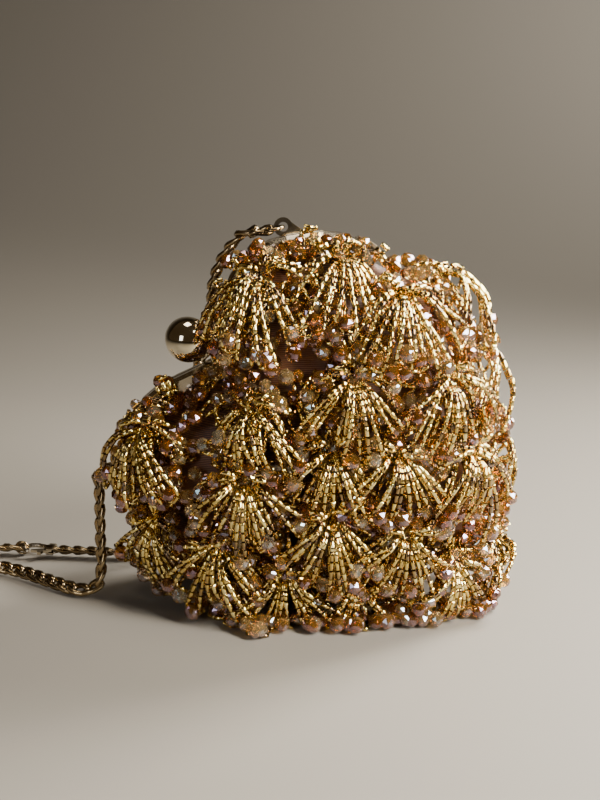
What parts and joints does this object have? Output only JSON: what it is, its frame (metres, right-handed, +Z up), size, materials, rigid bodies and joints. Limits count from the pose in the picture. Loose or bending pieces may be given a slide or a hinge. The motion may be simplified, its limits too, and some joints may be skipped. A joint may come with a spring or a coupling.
{
  "type": "beaded evening bag",
  "caption": "Small heart-shaped evening bag with a ball clasp frame, bead tufts all over its cloth pouch, and a chain strap",
  "frame": {"origin": "centre of the bottom of the bag's box, without the chain, on the surface that it stands on", "axes": "+X to the right as seen from the front, +Y from the front to the back, +Z up"},
  "size_m": [0.2487, 0.0968, 0.1303],
  "materials": {
    "pale_gold_metal": "polished",
    "rivet_metal": "satin",
    "amber_brown_satin": "satin",
    "lining_cloth": "matte",
    "gold_glass_beads": "glossy",
    "antique_gold_chain": "satin"
  },
  "bodies": {
    "bag": {"chain_clasp_body": "pale_gold_metal", "chain_clasp_ring": "pale_gold_metal", "chain_coil": "antique_gold_chain", "chain_left": "antique_gold_chain", "chain_right": "antique_gold_chain", "chain_tail": "antique_gold_chain", "clasp_ball_rear": "pale_gold_metal", "ear_ring_left": "antique_gold_chain", "ear_ring_right": "antique_gold_chain", "frame_rear": "pale_gold_metal", "hinge_rivet_left": "rivet_metal", "hinge_rivet_right": "rivet_metal", "pouch_lining": "lining_cloth", "pouch_satin": "amber_brown_satin", "tuft_back_a": "gold_glass_beads", "tuft_back_b": "gold_glass_beads", "tuft_back_c": "gold_glass_beads", "tuft_back_d": "gold_glass_beads", "tuft_back_e": "gold_glass_beads", "tuft_back_f": "gold_glass_beads", "tuft_back_g": "gold_glass_beads", "tuft_back_h": "gold_glass_beads", "tuft_back_i": "gold_glass_beads", "tuft_back_k": "gold_glass_beads", "tuft_back_l": "gold_glass_beads", "tuft_back_m": "gold_glass_beads", "tuft_back_n": "gold_glass_beads", "tuft_back_q": "gold_glass_beads", "tuft_back_r": "gold_glass_beads", "tuft_edge_a": "gold_glass_beads", "tuft_edge_b": "gold_glass_beads", "tuft_edge_c": "gold_glass_beads", "tuft_edge_d": "gold_glass_beads", "tuft_edge_e": "gold_glass_beads", "tuft_edge_f": "gold_glass_beads", "tuft_edge_g": "gold_glass_beads", "tuft_front_f": "gold_glass_beads", "tuft_front_g": "gold_glass_beads", "tuft_front_h": "gold_glass_beads", "tuft_front_i": "gold_glass_beads", "tuft_front_j": "gold_glass_beads", "tuft_front_k": "gold_glass_beads", "tuft_front_l": "gold_glass_beads", "tuft_front_m": "gold_glass_beads", "tuft_front_n": "gold_glass_beads", "tuft_front_o": "gold_glass_beads", "tuft_front_p": "gold_glass_beads", "tuft_front_q": "gold_glass_beads", "tuft_front_r": "gold_glass_beads"},
    "front_half": {"clasp_ball_front": "pale_gold_metal", "frame_front": "pale_gold_metal", "front_panel_lining": "lining_cloth", "front_panel_satin": "amber_brown_satin", "tuft_front_a": "gold_glass_beads", "tuft_front_b": "gold_glass_beads", "tuft_front_c": "gold_glass_beads", "tuft_front_d": "gold_glass_beads", "tuft_front_e": "gold_glass_beads"},
    "clasp_lever": {"chain_clasp_lever": "pale_gold_metal"}
  },
  "joints": [
    {"name": "frame_hinge", "type": "hinge", "parent": "bag", "child": "front_half", "pos_m": [-0.01291, -0.00006, 0.07208], "axis": [0.5821, 0, 0.8131], "range_deg": [0, 60], "deforming": ["front_panel_lining", "front_panel_satin", "tuft_front_a", "tuft_front_b", "tuft_front_c", "tuft_front_d", "tuft_front_e"]},
    {"name": "clasp_lever_hinge", "type": "hinge", "parent": "bag", "child": "clasp_lever", "pos_m": [-0.09617, 0.03491, 0.003], "axis": [0, 0, 1], "range_deg": [-20, 0], "stiffness_Nm_per_rad": 0.002, "springref_deg": 5.16}
  ]
}
